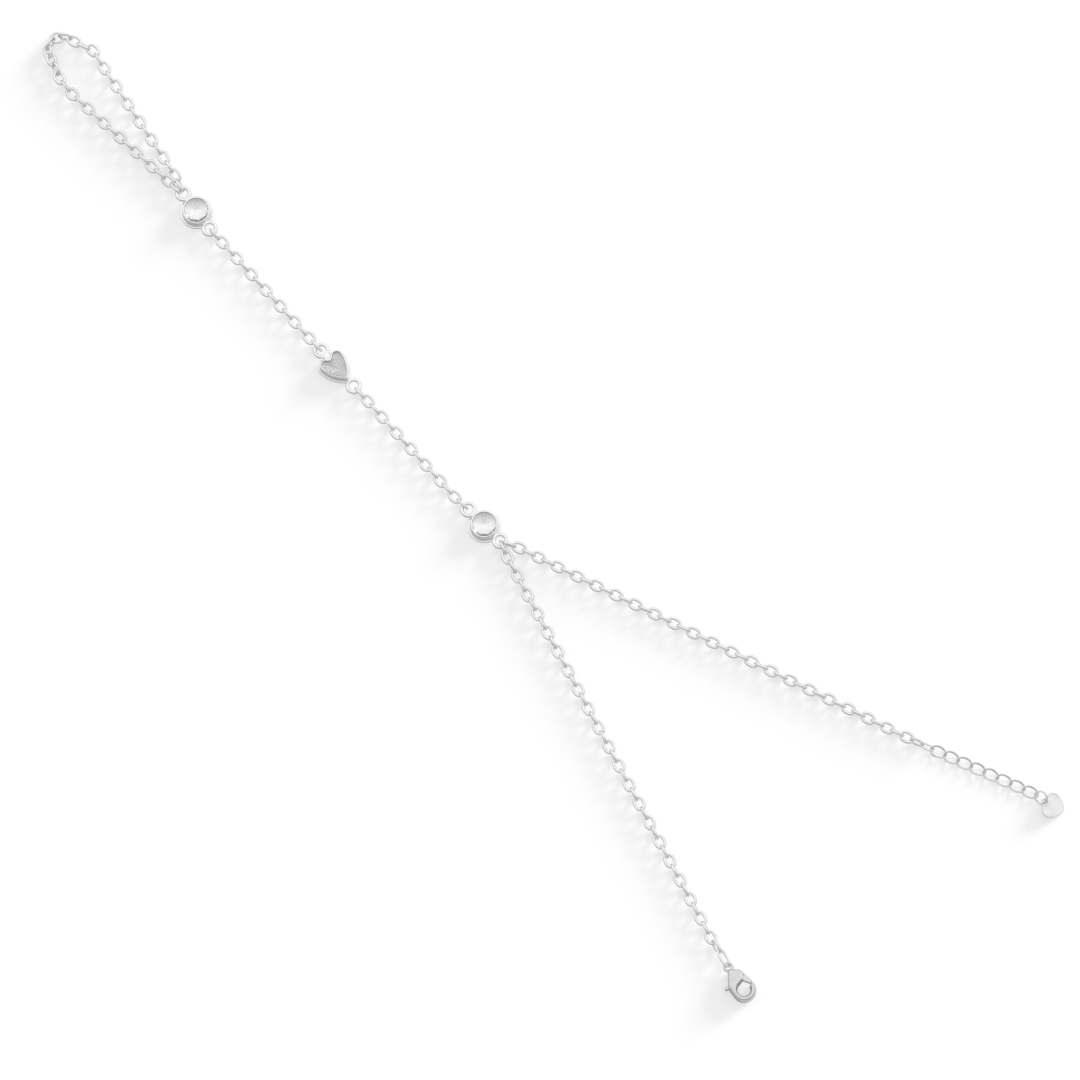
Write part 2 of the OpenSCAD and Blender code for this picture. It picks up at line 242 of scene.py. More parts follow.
def run(start, stretch, end, end_reach=None, end_roll=STANDING):
    """Straight chain between two fastenings. Its stretch is the first and last flat link and how
    many are flat. Standing links come between them, and one more at each end hangs in its
    fastening. The last one may reach out by another distance or roll another way."""
    first, last, flats = stretch
    start, first, last, end = (np.append(p, CHAIN_Z) for p in (start, first, last, end))
    links = np.linspace(first, last, 2 * flats - 1)
    pitch = np.linalg.norm(links[1] - links[0])
    head = first + unit(start - first) * pitch
    tail = last + unit(end - last) * (end_reach or pitch)
    centres = np.concatenate(([head], links, [tail]))
    rolls = np.where(np.arange(len(centres)) % 2, FLAT, STANDING)
    rolls = rolls + chance.uniform(-CABLE_PLAY, CABLE_PLAY, len(centres))
    rolls[-1] = end_roll
    return linked(centres, rolls, start, end)


# Places of the eyes and links that the chains hang in
finger_loop_eye = FINGER_AT + turned(0, EYE_REACH, FINGER_TURN)
finger_hand_eye = FINGER_AT - turned(0, EYE_REACH, FINGER_TURN)
heart_top_eye = HEART_AT + (0, HEART_EYE_REACH)
heart_tip_eye = HEART_AT - (0, HEART_EYE_REACH)
wrist_hand_eye = turned(0, EYE_REACH, WRIST_TURN)
wrist_arm_eye = -wrist_hand_eye
CLASP_LINK_AT = np.array((-20.86, -87.36, 1.2))
EXTENDER_LINK_AT = np.array((32.01, -83.21, 0.95))

# Straight stretches of cable chain: first and last flat link, and how many are flat
UPPER_STRETCH = ((-0.35, 70.64), (-0.43, 46.88), 7)
LOWER_STRETCH = ((-0.36, 31.10), (-0.45, 7.48), 7)
CLASP_STRETCH = ((-0.81, -7.15), (-20.10, -83.07), 21)
EXTENDER_STRETCH = ((1.93, -7.30), (30.47, -79.52), 21)
LEFT_STRETCH = ((-0.10, 85.80), (-2.25, 109.50), 7)
RIGHT_STRETCH = ((1.57, 85.65), (5.28, 109.25), 7)
# How the arms' last links hang in the plain links after them
CLASP_END_ROLL = 66
EXTENDER_END_ROLL = 62
EXTENDER_END_REACH = 1.99

# Finger loop. The standing link of each strand that hangs in the finger setting's eye: x and y
LEFT_IN_EYE = (0.07, 83.82)
RIGHT_IN_EYE = (1.03, 83.73)
# How far to each side of the eye's middle these two links point, their roll, and the roll of the
# flat links after them, so that the two strands pass each other
EYE_SPREAD = 0.34
IN_EYE_ROLL = 78
FIRST_ROLL = -22
# Links round the turn up to the ring: x, y and roll
LEFT_TURN = (
    (-2.15, 111.44, 88), (-2.00, 113.30, 15), (-1.35, 115.02, -62),
    (-0.85, 116.80, 32), (-0.28, 118.45, -44), (1.02, 119.32, 68),
)
RIGHT_TURN = (
    (5.60, 111.18, 90), (5.93, 113.10, 5), (5.24, 114.90, 78),
    (4.57, 116.65, 14), (3.92, 118.42, -62),
)
FINGER_RING_AT = np.array((2.72, 119.31, 0.95))


def finger_strand(in_eye, stretch, turn, spread):
    """One side of the finger loop, from the eye to the ring."""
    flats = np.linspace(*stretch)
    rows = [(*in_eye, CHAIN_Z, IN_EYE_ROLL), (*flats[0], CHAIN_Z, FIRST_ROLL)]
    for a, b in zip(flats, flats[1:]):
        rows += [((a[0] + b[0]) / 2, (a[1] + b[1]) / 2, CHAIN_Z, STANDING), (*b, CHAIN_Z, FLAT)]
    rows += [(x, y, CHAIN_Z, roll) for x, y, roll in turn]
    rows = np.array(rows)
    eye = np.append(finger_loop_eye + (spread, 0), EYE_Z)
    return linked(rows[:, :3], rows[:, 3], eye, FINGER_RING_AT)


# Extender of twisted oval links: its first and last link and how many there are, the size of a
# link, its wire at the ends and sides, its thickness, the height of its middle, twist and lean
CURB_FIRST = (32.98, -85.24)
CURB_LAST = (40.27, -101.67)
CURB_COUNT = 8
CURB_L = 3.20
CURB_W = 2.34
CURB_END = 0.30
CURB_SIDE = 0.42
CURB_T = 0.26
CURB_Z = 0.52
CURB_TWIST = 0.34
CURB_LEAN = 38


def curb_chain():
    """The extender's links, all alike and laid in one line."""
    line = np.subtract(CURB_LAST, CURB_FIRST)
    turn = math.degrees(math.atan2(line[1], line[0])) - 90
    link = oval(CURB_L, CURB_W, CURB_END, CURB_SIDE, CURB_T, twist=CURB_TWIST, lean=CURB_LEAN)
    places = np.linspace(CURB_FIRST, CURB_LAST, CURB_COUNT)
    turns = [turn + chance.uniform(-CURB_PLAY, CURB_PLAY) for _ in places]
    return joined([moved(link, (*p, CURB_Z), ("Z", t)) for p, t in zip(places, turns)])


# Jump rings: outer width, wire, the cut's width in degrees, and turns as moved() takes them
FINGER_RING_SIZE = (2.78, 0.46, 12)
FINGER_RING_TURNS = (("Z", -42), ("X", -28), ("Z", 55))
TAG_RING_AT = (40.98, -103.65, 1.02)
TAG_RING_SIZE = (2.70, 0.40, 5)
TAG_RING_TURNS = (("Z", 3), ("Y", -38), ("Z", 180))
# Plain oval links: length, width and wire, how full they are at the shoulders, and turns
CLASP_LINK_SIZE = (3.95, 2.15, 0.46)
CLASP_LINK_SQUARE = 2.4
CLASP_LINK_TURNS = (("Z", -12.9), ("Y", 44))
EXTENDER_LINK_SIZE = (2.85, 2.0, 0.36)
EXTENDER_LINK_SQUARE = 2.2
EXTENDER_LINK_TURNS = (("Z", 21.8), ("Y", 48))


# Shapes made from fields of distances, which are below zero inside the metal

def smooth_min(a, b, k):
    """The nearer of two surfaces, blended over a width k."""
    h = np.maximum(k - np.abs(a - b), 0) / k
    return np.minimum(a, b) - h * h * k / 4


def smooth_max(a, b, k):
    """What two solids share, with the edge between them rounded over a width k."""
    return -smooth_min(-a, -b, k)


def cut(a, b, k):
    """Solid a without solid b."""
    return smooth_max(a, -b, k)


def round_field(x, y, at, r):
    """Flat circle."""
    return np.hypot(x - at[0], y - at[1]) - r


def eyes_field(x, y, z, reach):
    """Two rings of thick wire that lie flat, one at each end of a setting."""
    return np.hypot(np.hypot(x, np.abs(y) - reach) - EYE_R, z - EYE_Z) - EYE_WIRE_R


def outline_field(x, y, outline):
    """Distance to a closed flat outline."""
    best = np.full(np.broadcast(x, y).shape, np.inf)
    inside = np.zeros(best.shape, bool)
    for (ax, ay), (bx, by) in zip(outline, np.roll(outline, -1, 0)):
        ex, ey = bx - ax, by - ay
        t = np.clip(((x - ax) * ex + (y - ay) * ey) / (ex * ex + ey * ey), 0, 1)
        best = np.minimum(best, np.hypot(x - ax - t * ex, y - ay - t * ey))
        if ay != by:
            inside ^= ((ay > y) != (by > y)) & (x < ax + (y - ay) * ex / ey)
    return np.where(inside, -best, best)


# How often a cast mesh's corners are drawn onto the surface, and the least slope that is trusted
DRAW_ROUNDS = 3
LEAST_SLOPE = 0.1


def cast(field, low, high, cell):
    """Mesh of the surface where a field is zero. Each cell that the surface passes gets one
    corner, which is then drawn onto the surface."""
    low = np.asarray(low, float)
    counts = [int(math.ceil((b - a) / cell)) + 1 for a, b in zip(low, high)]
    grid = [low[i] + cell * np.arange(counts[i]) for i in range(3)]
    x, y, z = np.meshgrid(*grid, indexing="ij", sparse=True)
    f = np.broadcast_to(field(x, y, z), counts)
    inside = f < 0
    steps = np.eye(3, dtype=int)
    offsets = np.array([(a, b, c) for a in (0, 1) for b in (0, 1) for c in (0, 1)])
    full = sum(inside[tuple(slice(o, n - 1 + o) for o, n in zip(offset, counts))].astype(np.int8)
               for offset in offsets)
    cells = np.argwhere((full > 0) & (full < len(offsets)))
    number = np.full(full.shape, -1)
    number[tuple(cells.T)] = np.arange(len(cells))
    total, hits = np.zeros((len(cells), 3)), np.zeros(len(cells))
    faces = []
    for axis in range(3):
        for offset in offsets[offsets[:, axis] == 0]:
            a = cells + offset
            fa, fb = f[tuple(a.T)], f[tuple((a + steps[axis]).T)]
            crossed = (fa < 0) != (fb < 0)
            t = np.where(crossed, fa / np.where(crossed, fa - fb, 1), 0)
            total += crossed[:, None] * (offset + t[:, None] * steps[axis])
            hits += crossed
        u, v = steps[(axis + 1) % 3], steps[(axis + 2) % 3]
        near = inside[tuple(slice(0, n - s) for n, s in zip(counts, steps[axis]))]
        far = inside[tuple(slice(s, n) for n, s in zip(counts, steps[axis]))]
        edge = np.argwhere(near != far)
        quad = np.stack([number[tuple((edge - d).T)] for d in (u + v, v, 0 * u, u)], 1)
        out = near[tuple(edge.T)]
        quad[~out] = quad[~out][:, ::-1]
        faces += quad.tolist()
    corners = low + (cells + total / hits[:, None]) * cell
    step = cell / 4
    for _ in range(DRAW_ROUNDS):
        here = field(*corners.T)
        slope = np.stack([field(*(corners + step * s).T) - field(*(corners - step * s).T)
                          for s in steps], 1) / (2 * step)
        length = np.maximum((slope * slope).sum(1), LEAST_SLOPE)
        corners -= np.clip(here / length, -cell / 2, cell / 2)[:, None] * slope
    return corners, faces


# Bezels

# All have one profile: a foot, a step in to a wall that leans inwards, and a rim over the stone's
# girdle. A name with IN is a distance inwards from the foot's edge
STEP_Z = 0.46
STEP_IN = 0.26
RIM_IN = 0.50
BEZEL_H = 2.25
GIRDLE_Z = 1.78
GIRDLE_H = 0.10
SEAT_GAP = 0.06
SEAT_Z = 0.95
# Widths over which the foot, its underside, the rim, the step and the opening are rounded
FOOT_EDGE = 0.12
UNDER_EDGE = 0.08
RIM_EDGE = 0.22
STEP_EDGE = 0.02
OPENING_EDGE = 0.10
# Width of the solder round the eyes, and size of the cells that settings are cast in
SOLDER = 0.28
CELL = 0.06


def bezel_field(d, z, seat_in, groove_in, show_in):
    """Bezel from the flat distance d to its foot's edge. The opening is widest in the groove for
    the girdle, leans in below it to the seat's lower end, and is narrower where the stone shows."""
    foot = smooth_max(smooth_max(d, z - STEP_Z, FOOT_EDGE), -z, UNDER_EDGE)
    lean = (RIM_IN - STEP_IN) / (BEZEL_H - STEP_Z)
    wall = smooth_max(d + STEP_IN + lean * (z - STEP_Z), z - BEZEL_H, RIM_EDGE)
    solid = np.minimum(foot, smooth_max(wall, STEP_Z / 2 - z, STEP_EDGE))
    seat_lean = (seat_in - groove_in) / (GIRDLE_Z - SEAT_GAP - SEAT_Z)
    opening_in = np.clip(seat_in - seat_lean * (z - SEAT_Z), groove_in, seat_in)
    opening_in = np.where(z > GIRDLE_Z + GIRDLE_H + SEAT_GAP, show_in, opening_in)
    return smooth_max(solid, -(d + opening_in), OPENING_EDGE)


def setting(field, half_width, eye_reach, at, turn=0):
    """One setting in its place."""
    far = eye_reach + EYE_R + EYE_WIRE_R + 2 * CELL
    wide = half_width + 2 * CELL
    mesh = cast(field, (-wide, -far, -2 * CELL), (wide, far, BEZEL_H + 2 * CELL), CELL)
    return moved(mesh, (*at, 0), ("Z", turn))


# Round settings

FOOT_R = 3.0
ROUND_SEAT_IN = 1.50
ROUND_GROOVE_IN = 0.64
ROUND_SHOW_IN = 0.80


def round_setting_field(x, y, z):
    """Round bezel with its two soldered eyes."""
    bezel = bezel_field(np.hypot(x, y) - FOOT_R, z, ROUND_SEAT_IN, ROUND_GROOVE_IN, ROUND_SHOW_IN)
    return smooth_min(bezel, eyes_field(x, y, z, EYE_REACH), SOLDER)


# Heart setting and the heart's outline

HEART_L = 6.5
HEART_W = 5.75
# Middle of a lobe, as shares of the width from the middle line and from the top, and the direction
# in degrees in which the side's arc passes into the lobe's
LOBE_X = 0.226
LOBE_Y = 0.274
LOBE_TURN = -5


def heart_outline(length, width, steps, inset=0, lobe_turn=LOBE_TURN):
    """A heart's edge with its tip at -y, moved inwards by inset: an arc up each side to where the
    lobe starts, an arc round the lobe, and one about the notch, each with its number of steps."""
    side_steps, lobe_steps, notch_steps = steps
    lobe = np.array((width * LOBE_X, length / 2 - width * LOBE_Y))
    r = width / 2 - lobe[0]
    tip = np.array((0, -length / 2))
    v = tip - lobe
    n = turned(1, 0, lobe_turn)
    side_r = (v @ v - 2 * r * (v @ n) + r * r) / (2 * r - 2 * (v @ n))
    mid = lobe - (side_r - r) * n
    tip_turn = -math.degrees(math.acos(-mid[0] / (side_r - inset)))
    notch_turn = math.degrees(math.acos(-lobe[0] / r))
    notch = lobe + turned(r, 0, notch_turn)
    side = [mid + turned(side_r - inset, 0, a)
            for a in np.linspace(tip_turn, lobe_turn, side_steps, endpoint=False)]
    over = [lobe + turned(r - inset, 0, a) for a in np.linspace(lobe_turn, notch_turn, lobe_steps)]
    under = [notch + turned(inset, 0, a)
             for a in np.linspace(notch_turn + 180, 270, notch_steps + 1)[1:]]
    half = np.array(side + over + under)
    return np.concatenate((half, half[-2:0:-1] * (-1, 1)))


HEART_SEAT_IN = 1.60
HEART_GROOVE_IN = 0.62
HEART_SHOW_IN = 0.74
# Drop of solder in the notch, how many times wider than high it is, and the width of the solder
# between the bezel and its eyes
NOTCH_SOLDER_Y = 2.78
NOTCH_SOLDER_R = 0.42
NOTCH_SOLDER_STRETCH = 1.6
HEART_SOLDER = 0.38
EDGE_STEPS = (60, 60, 0)
HEART_EDGE = heart_outline(HEART_L, HEART_W, EDGE_STEPS)


def heart_setting_field(x, y, z):
    """Heart bezel with an eye at the notch and one at the tip."""
    d = outline_field(x, y, HEART_EDGE)
    bezel = bezel_field(d, z, HEART_SEAT_IN, HEART_GROOVE_IN, HEART_SHOW_IN)
    across = x / NOTCH_SOLDER_STRETCH
    drop = np.sqrt(across ** 2 + (y - NOTCH_SOLDER_Y) ** 2 + (z - EYE_Z) ** 2) - NOTCH_SOLDER_R
    eyes = smooth_min(eyes_field(x, y, z, HEART_EYE_REACH), drop, SOLDER)
    return smooth_min(bezel, eyes, HEART_SOLDER)


# Stones

# The shares place rings of corners between a stone's middle and its girdle, and the slope of the
# back is in degrees
STONE_R = 2.30
TABLE_Z = 2.04
TABLE_SHARE = 0.62
STAR_SHARE = 0.78
CULET_R = 0.22
LOWER_SHARE = 0.34
PAVILION_SLOPE = 9.0


def round_stone(at, turn):
    """Round brilliant: a table with eight stars, eight kites and sixteen upper facets, and
    eight mains with sixteen lower facets down to a flat culet."""
    eighth = math.tau / 8
    main = np.arange(8) * eighth
    between = main + eighth / 2
    around = np.arange(16) * eighth / 2
    slope = math.tan(math.radians(PAVILION_SLOPE))
    culet_z = GIRDLE_Z - (STONE_R - CULET_R) * slope

    def ring(angles, r, z):
        return np.stack((r * np.cos(angles), r * np.sin(angles), z + 0 * angles), 1)

    crown_z = GIRDLE_Z + GIRDLE_H
    star_rise = (1 - STAR_SHARE * math.cos(eighth / 2)) / (1 - TABLE_SHARE)
    star_z = crown_z + (TABLE_Z - crown_z) * star_rise
    lower_r = STONE_R * LOWER_SHARE
    lower_z = GIRDLE_Z - (STONE_R - lower_r * math.cos(eighth / 2)) * slope
    rings = (
        ring(main, STONE_R * TABLE_SHARE, TABLE_Z), ring(between, STONE_R * STAR_SHARE, star_z),
        ring(around, STONE_R, crown_z), ring(around, STONE_R, GIRDLE_Z),
        ring(between, lower_r, lower_z), ring(main, CULET_R, culet_z),
    )
    corners = np.concatenate(rings)
    starts = np.cumsum([0] + [len(row) for row in rings[:-1]])
    table, star, crown, girdle, lower, culet = starts.tolist()
    faces = [[table + k for k in range(8)], [culet + k for k in range(7, -1, -1)]]
    for k in range(8):
        n, p = (k + 1) % 8, (k - 1) % 8
        g, h, m = 2 * k, (2 * k + 1) % 16, (2 * k + 2) % 16
        faces += [
            [table + k, star + k, table + n], [table + k, star + p, crown + g, star + k],
            [star + k, crown + g, crown + h], [star + k, crown + h, crown + m],
            [crown + g, girdle + g, girdle + h, crown + h],
            [crown + h, girdle + h, girdle + m, crown + m],
            [lower + k, girdle + h, girdle + g], [lower + k, girdle + m, girdle + h],
            [culet + k, lower + k, girdle + g, lower + p], [culet + k, culet + n, lower + k],
        ]
    return moved((corners, faces), (*at, 0), ("Z", turn))


HEART_TABLE_IN = 1.10
HEART_TABLE_Z = 1.98
HEART_BACK_IN = 1.40
HEART_BACK_Z = 1.69
HEART_POINT = (0, -0.3, 1.58)
# Play round the girdle, and how far the middle of the crown swells past a flat slope
HEART_PLAY = 0.03
CROWN_SWELL = 0.01
FACET_STEPS = (5, 6, 2)


def heart_stone():
    """Heart brilliant: a flat table, two rows of crown facets, and a pavilion down to a point."""
    def ring(inset, z, half=False):
        edge = heart_outline(HEART_L, HEART_W, FACET_STEPS, inset)
        if half:
            edge = (edge + np.roll(edge, -1, 0)) / 2
        return np.column_stack((edge, np.full(len(edge), z)))

    crown_z = GIRDLE_Z + GIRDLE_H
    stone_in = HEART_GROOVE_IN + HEART_PLAY
    mid_in = (stone_in + HEART_TABLE_IN) / 2
    rings = [
        ring(HEART_TABLE_IN, HEART_TABLE_Z),
        ring(mid_in, (crown_z + HEART_TABLE_Z) / 2 + CROWN_SWELL, half=True),
        ring(stone_in, crown_z), ring(stone_in, GIRDLE_Z),
        ring(HEART_BACK_IN, HEART_BACK_Z, half=True),
    ]
    n = len(rings[0])
    corners = np.concatenate(rings + [[HEART_POINT]])
    table, upper, crown, girdle, lower, point = (n * k for k in range(6))
    faces = [[table + k for k in range(n)]]
    for k in range(n):
        m = (k + 1) % n
        faces += [
            [table + k, upper + k, table + m], [upper + k, upper + m, table + m],
            [upper + k, crown + k, crown + m], [upper + k, crown + m, upper + m],
            [crown + k, girdle + k, girdle + m, crown + m],
            [lower + k, girdle + m, girdle + k], [lower + k, lower + m, girdle + m],
            [point, lower + m, lower + k],
        ]
    return moved((corners, faces), (*HEART_AT, 0))


# Clasp, drawn as in its own frame with the middle of the hook near the origin

CLASP_AT = (-21.84, -94.14)
CLASP_TURN = -42
CLASP_T = 2.4
CLASP_MID = CLASP_T / 2
# Hook and shoulder are round. The hole is round with a drop's top, and the flank is an outline
HOOK_AT = (-0.16, -0.22)
HOOK_R = 2.14
HOLE_AT = (-0.22, -0.12)
HOLE_R = 1.18
HOLE_TOP = ((-1.20, 0.50), (-0.52, 1.36), (0.5, 1.2), (0.9, 0.2))
SHOULDER_AT = (-1.45, 2.35)
SHOULDER_R = 1.2
BACK_X = -3.08
TOP_Y = 3.55
CORNER_R = 0.5
FLANK = (
    (BACK_X, TOP_Y - CORNER_R), (BACK_X, 0.45), (-2.95, -0.02), (-1.93, -1.42), (-0.6, -0.6),
    (-0.40, 1.48), (-0.30, 2.88), (-0.60, 3.2), (SHOULDER_AT[0], TOP_Y), (BACK_X + CORNER_R, TOP_Y),
)
# Eye at the flank's end, with the middle line's radius and the wire's width
CLASP_EYE_AT = (-3.0, 4.02)
CLASP_EYE_R = 0.70
CLASP_EYE_WIRE = 0.50
# Lever: its pin and hub, its gaps, the gate's reach from the pin, and the thumb nub
PIVOT_AT = (-0.95, 1.95)
PIN_R = 0.26
PIN_L = 1.8
PIN_GAP = 0.04
HUB_R = 0.62
LEVER_T = 1.10
LEVER_GAP = 0.10
GATE_R = 2.24
GATE_GAP = 0.06
THUMB_AT = (-3.33, 0.04)
THUMB_R = 0.33
GATE = (
    (-0.75, 1.40), (-0.36, 1.48), (0.62, 1.10), (1.3, 0.80), (1.75, 1.12), (-0.26, 2.94),
    (-0.29, 2.60), (-0.62, 2.52),
)
# The lever's arm, then what the body has for the lever: cover, mouth, and room for gate and arm
ARM = ((-3.53, 0.28), (-3.08, -0.16), (-0.69, 1.41), (-1.43, 2.33))
COVER = ((-1.2, 0.9), (0.3, 0.3), (1.0, 0.9), (1.15, 1.50), (-0.34, 3.02), (-1.2, 3.2))
MOUTH = ((-0.28, 3.4), (-0.42, 1.4), (-0.6, 0.6), (0.6, -0.3), (1.4, 0.2), (2.4, 1.6), (1.5, 3.4))
GATE_ROOM = ((-0.9, 0.9), (0.6, 0.1), (1.0, 3.0), (-0.72, 2.64))
ARM_ROOM = ((-0.85, 2.55), (-4.2, 2.45), (-4.2, -0.9), (-2.9, -0.62), (-0.65, 1.35))
# Widths over which edges are rounded and shapes are joined
BORE_EDGE = 0.02
CRISP = 0.05
MOUTH_EDGE = 0.06
SOFT = 0.1
EYE_JOINT = 0.15
COVER_JOINT = 0.2
# How far in and how far down the outer edges are rounded
BODY_PILLOW = (0.50, 0.75)
LEVER_PILLOW = (0.18, 0.22)
# Box that both parts are cast in, and its cells
CLASP_LOW = (-4.2, -2.5)
CLASP_HIGH = (2.2, 5.1)
CLASP_CELL = 0.05


def pillowed(d, z, half, pillow):
    """A flat shape given thickness, with its edges rounded back and down."""
    edge_r, edge_h = pillow
    q = np.maximum(d + edge_r, 0) / edge_r
    p = np.maximum(np.abs(z - CLASP_MID) - half + edge_h, 0) / edge_h
    outside = (np.sqrt(q * q + p * p) - 1) * min(pillow)
    return np.maximum(outside, np.maximum(d, np.abs(z - CLASP_MID) - half))


def clasp_body_field(x, y, z):
    """Cast clasp: hook, shoulder and flank as one, with a slot for the lever, a pin and an eye."""
    hook = round_field(x, y, HOOK_AT, HOOK_R)
    flat = smooth_min(hook, round_field(x, y, SHOULDER_AT, SHOULDER_R), SOFT)
    flat = np.minimum(flat, outline_field(x, y, FLANK))
    corner = (BACK_X + CORNER_R, TOP_Y - CORNER_R)
    flat = np.minimum(flat, round_field(x, y, corner, CORNER_R))
    flat = smooth_min(flat, outline_field(x, y, COVER), COVER_JOINT)
    hole = np.minimum(round_field(x, y, HOLE_AT, HOLE_R), outline_field(x, y, HOLE_TOP))
    body = pillowed(cut(flat, hole, CRISP), z, CLASP_T / 2, BODY_PILLOW)
    swing = round_field(x, y, PIVOT_AT, GATE_R + GATE_GAP)
    body = cut(body, smooth_max(outline_field(x, y, MOUTH), swing, CRISP), MOUTH_EDGE)
    room = np.minimum(outline_field(x, y, GATE_ROOM), outline_field(x, y, ARM_ROOM))
    room = np.minimum(room, round_field(x, y, PIVOT_AT, HUB_R + LEVER_GAP))
    slot = np.maximum(room, np.abs(z - CLASP_MID) - LEVER_T / 2 - LEVER_GAP)
    body = cut(body, slot, CRISP)
    pin = np.maximum(round_field(x, y, PIVOT_AT, PIN_R), np.abs(z - CLASP_MID) - PIN_L / 2)
    eye_line = round_field(x, y, CLASP_EYE_AT, CLASP_EYE_R)
    eye = np.hypot(eye_line, z - CLASP_MID) - CLASP_EYE_WIRE / 2
    return smooth_min(np.minimum(body, pin), eye, EYE_JOINT)


def clasp_lever_field(x, y, z):
    """Lever: hub on the pin, gate to the hook's tip, and arm to the thumb nub."""
    gate = smooth_max(outline_field(x, y, GATE), round_field(x, y, PIVOT_AT, GATE_R), CRISP)
    flat = np.minimum(round_field(x, y, PIVOT_AT, HUB_R), gate)
    flat = smooth_min(flat, outline_field(x, y, ARM), CRISP)
    flat = smooth_min(flat, round_field(x, y, THUMB_AT, THUMB_R), SOFT)
    solid = pillowed(flat, z, LEVER_T / 2, LEVER_PILLOW)
    return cut(solid, round_field(x, y, PIVOT_AT, PIN_R + PIN_GAP), BORE_EDGE)


def clasp_part(field):
    """Body or lever in its place."""
    pad = 2 * CLASP_CELL
    mesh = cast(field, (*CLASP_LOW, -pad), (*CLASP_HIGH, CLASP_T + pad), CLASP_CELL)
    return moved(mesh, (*CLASP_AT, 0), ("Z", CLASP_TURN))


# Heart tag, drawn with its tip at the origin and its round tab at +y

# Where its tip lies and its turns in degrees, its size, its tab, its rim and how far the field
# lies below it
TAG_TIP_AT = (42.38, -108.08, 0.24)
TAG_TURN = 25.7
TAG_LIFT = 10
TAG_ROLL = 12
TAG_L = 3.8
TAG_W = 4.95
TAG_LOBE_TURN = -27
TAG_T = 0.36
TAB_BACK = 3.70
TAB_R = 0.72
TAB_HOLE_R = 0.47
TAG_RIM = 0.26
TAG_FIELD_DOWN = 0.07
# Widths over which the tab is joined and edges are rounded
TAB_JOINT = 0.15
TAG_ROUNDING = 0.12
DISH_EDGE = 0.06
TAG_STEPS = (40, 40, 0)
TAG_EDGE = heart_outline(TAG_L, TAG_W, TAG_STEPS, lobe_turn=TAG_LOBE_TURN)
TAG_CELL = 0.04


def tag_field(x, y, z):
    """Stamped tag: a thin plain field inside a raised rim, and a tab with a hole."""
    heart = outline_field(x, y - TAG_L / 2, TAG_EDGE)
    flat = smooth_min(heart, round_field(x, y, (0, TAB_BACK), TAB_R), TAB_JOINT)
    flat = cut(flat, round_field(x, y, (0, TAB_BACK), TAB_HOLE_R), CRISP)
    above = np.abs(z - TAG_T / 2) - TAG_T / 2
    plate = smooth_max(flat, above, TAG_ROUNDING)
    dish = smooth_max(flat + TAG_RIM, np.abs(above) - TAG_FIELD_DOWN, DISH_EDGE)
    return cut(plate, dish, CRISP)


def heart_tag():
    """The tag, leaning on its tip and one lobe."""
    pad = 2 * TAG_CELL
    low = (-TAG_W / 2 - pad, -pad, -pad)
    high = (TAG_W / 2 + pad, TAB_BACK + TAB_R + pad, TAG_T + pad)
    mesh = cast(tag_field, low, high, TAG_CELL)
    return moved(mesh, TAG_TIP_AT, ("Z", TAG_TURN), ("X", TAG_LIFT), ("Y", TAG_ROLL))


# Materials

def add_node(tree, kind, settings=None, **inputs):
    """Adds a node, sets its choices, and fills or joins its inputs. The input i0 is the first."""
    made = tree.nodes.new(kind)
    for key, value in (settings or {}).items():
        setattr(made, key, value)
    for key, value in inputs.items():
        numbered = key[0] == "i" and key[1:].isdigit()
        socket = made.inputs[int(key[1:])] if numbered else made.inputs[key.replace("_", " ")]
        if isinstance(value, bpy.types.NodeSocket):
            tree.links.new(value, socket)
        else:
            socket.default_value = value
    return made


def new_group(name, inputs, outputs):
    """Shader node group with named inputs (kind and first value) and named outputs (kind)."""
    group = bpy.data.node_groups.new(name, "ShaderNodeTree")
    for label, (kind, value) in inputs.items():
        group.interface.new_socket(label, in_out="INPUT", socket_type=kind).default_value = value
    for label, kind in outputs.items():
        group.interface.new_socket(label, in_out="OUTPUT", socket_type=kind)
    given = group.nodes.new("NodeGroupInput").outputs
    put = group.nodes.new("NodeGroupOutput").inputs
    return group, given, put


def new_material(name):
    """Material with an empty node tree."""
    material = bpy.data.materials.new(name)
    material.use_nodes = True
    material.node_tree.nodes.clear()
    return material, material.node_tree


# Noise of the polish: its detail, and the levels between which the bright metal turns dull
PATCH_DETAIL = 3.0
MARK_DETAIL = 2.0
DULL_FROM = 0.42
DULL_TO = 0.68
# Numbers of a colour mix node's sockets: its two colours, and the mixed one that it puts out
MIX_FIRST = 6
MIX_SECOND = 7
MIX_RESULT = 2


